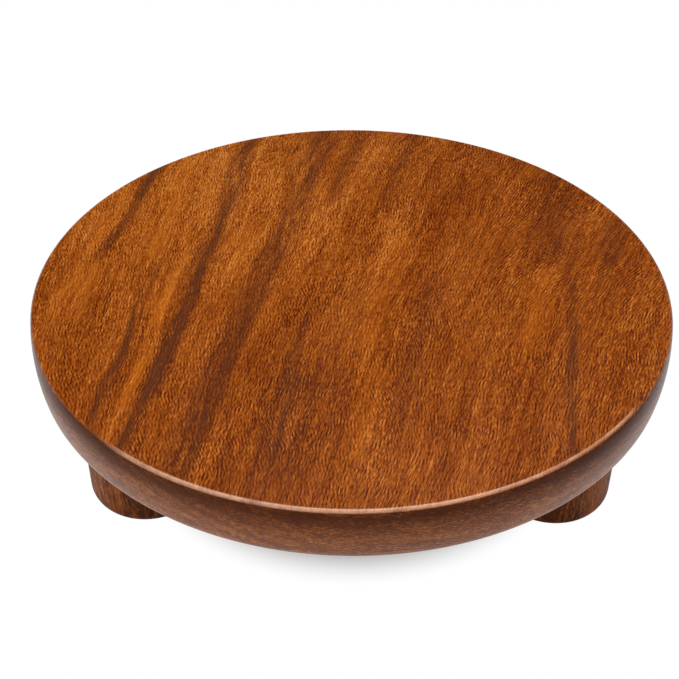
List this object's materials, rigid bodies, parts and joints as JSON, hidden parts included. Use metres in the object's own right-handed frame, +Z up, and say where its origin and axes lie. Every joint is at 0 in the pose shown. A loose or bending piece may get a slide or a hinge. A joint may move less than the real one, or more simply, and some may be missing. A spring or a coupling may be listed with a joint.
{
  "type": "chakla rolling board",
  "caption": "Round turned hardwood board for rolling out dough, with a crowned side, raised on round turned feet screwed on from below.",
  "frame": {"origin": "on the floor, under the middle of the board", "axes": "+Z up through the rolling face, -Y towards the gap between the front feet, as the picture looks"},
  "size_m": [0.254, 0.254, 0.0685],
  "materials": {
    "board_wood": "satin lacquer",
    "foot_wood": "satin lacquer",
    "screw_steel": "zinc plated"
  },
  "bodies": {
    "root": {"board": "board_wood", "foot_rear": "foot_wood", "foot_front_left": "foot_wood", "foot_front_right": "foot_wood", "screw_rear": "screw_steel", "screw_front_left": "screw_steel", "screw_front_right": "screw_steel"}
  },
  "joints": []
}
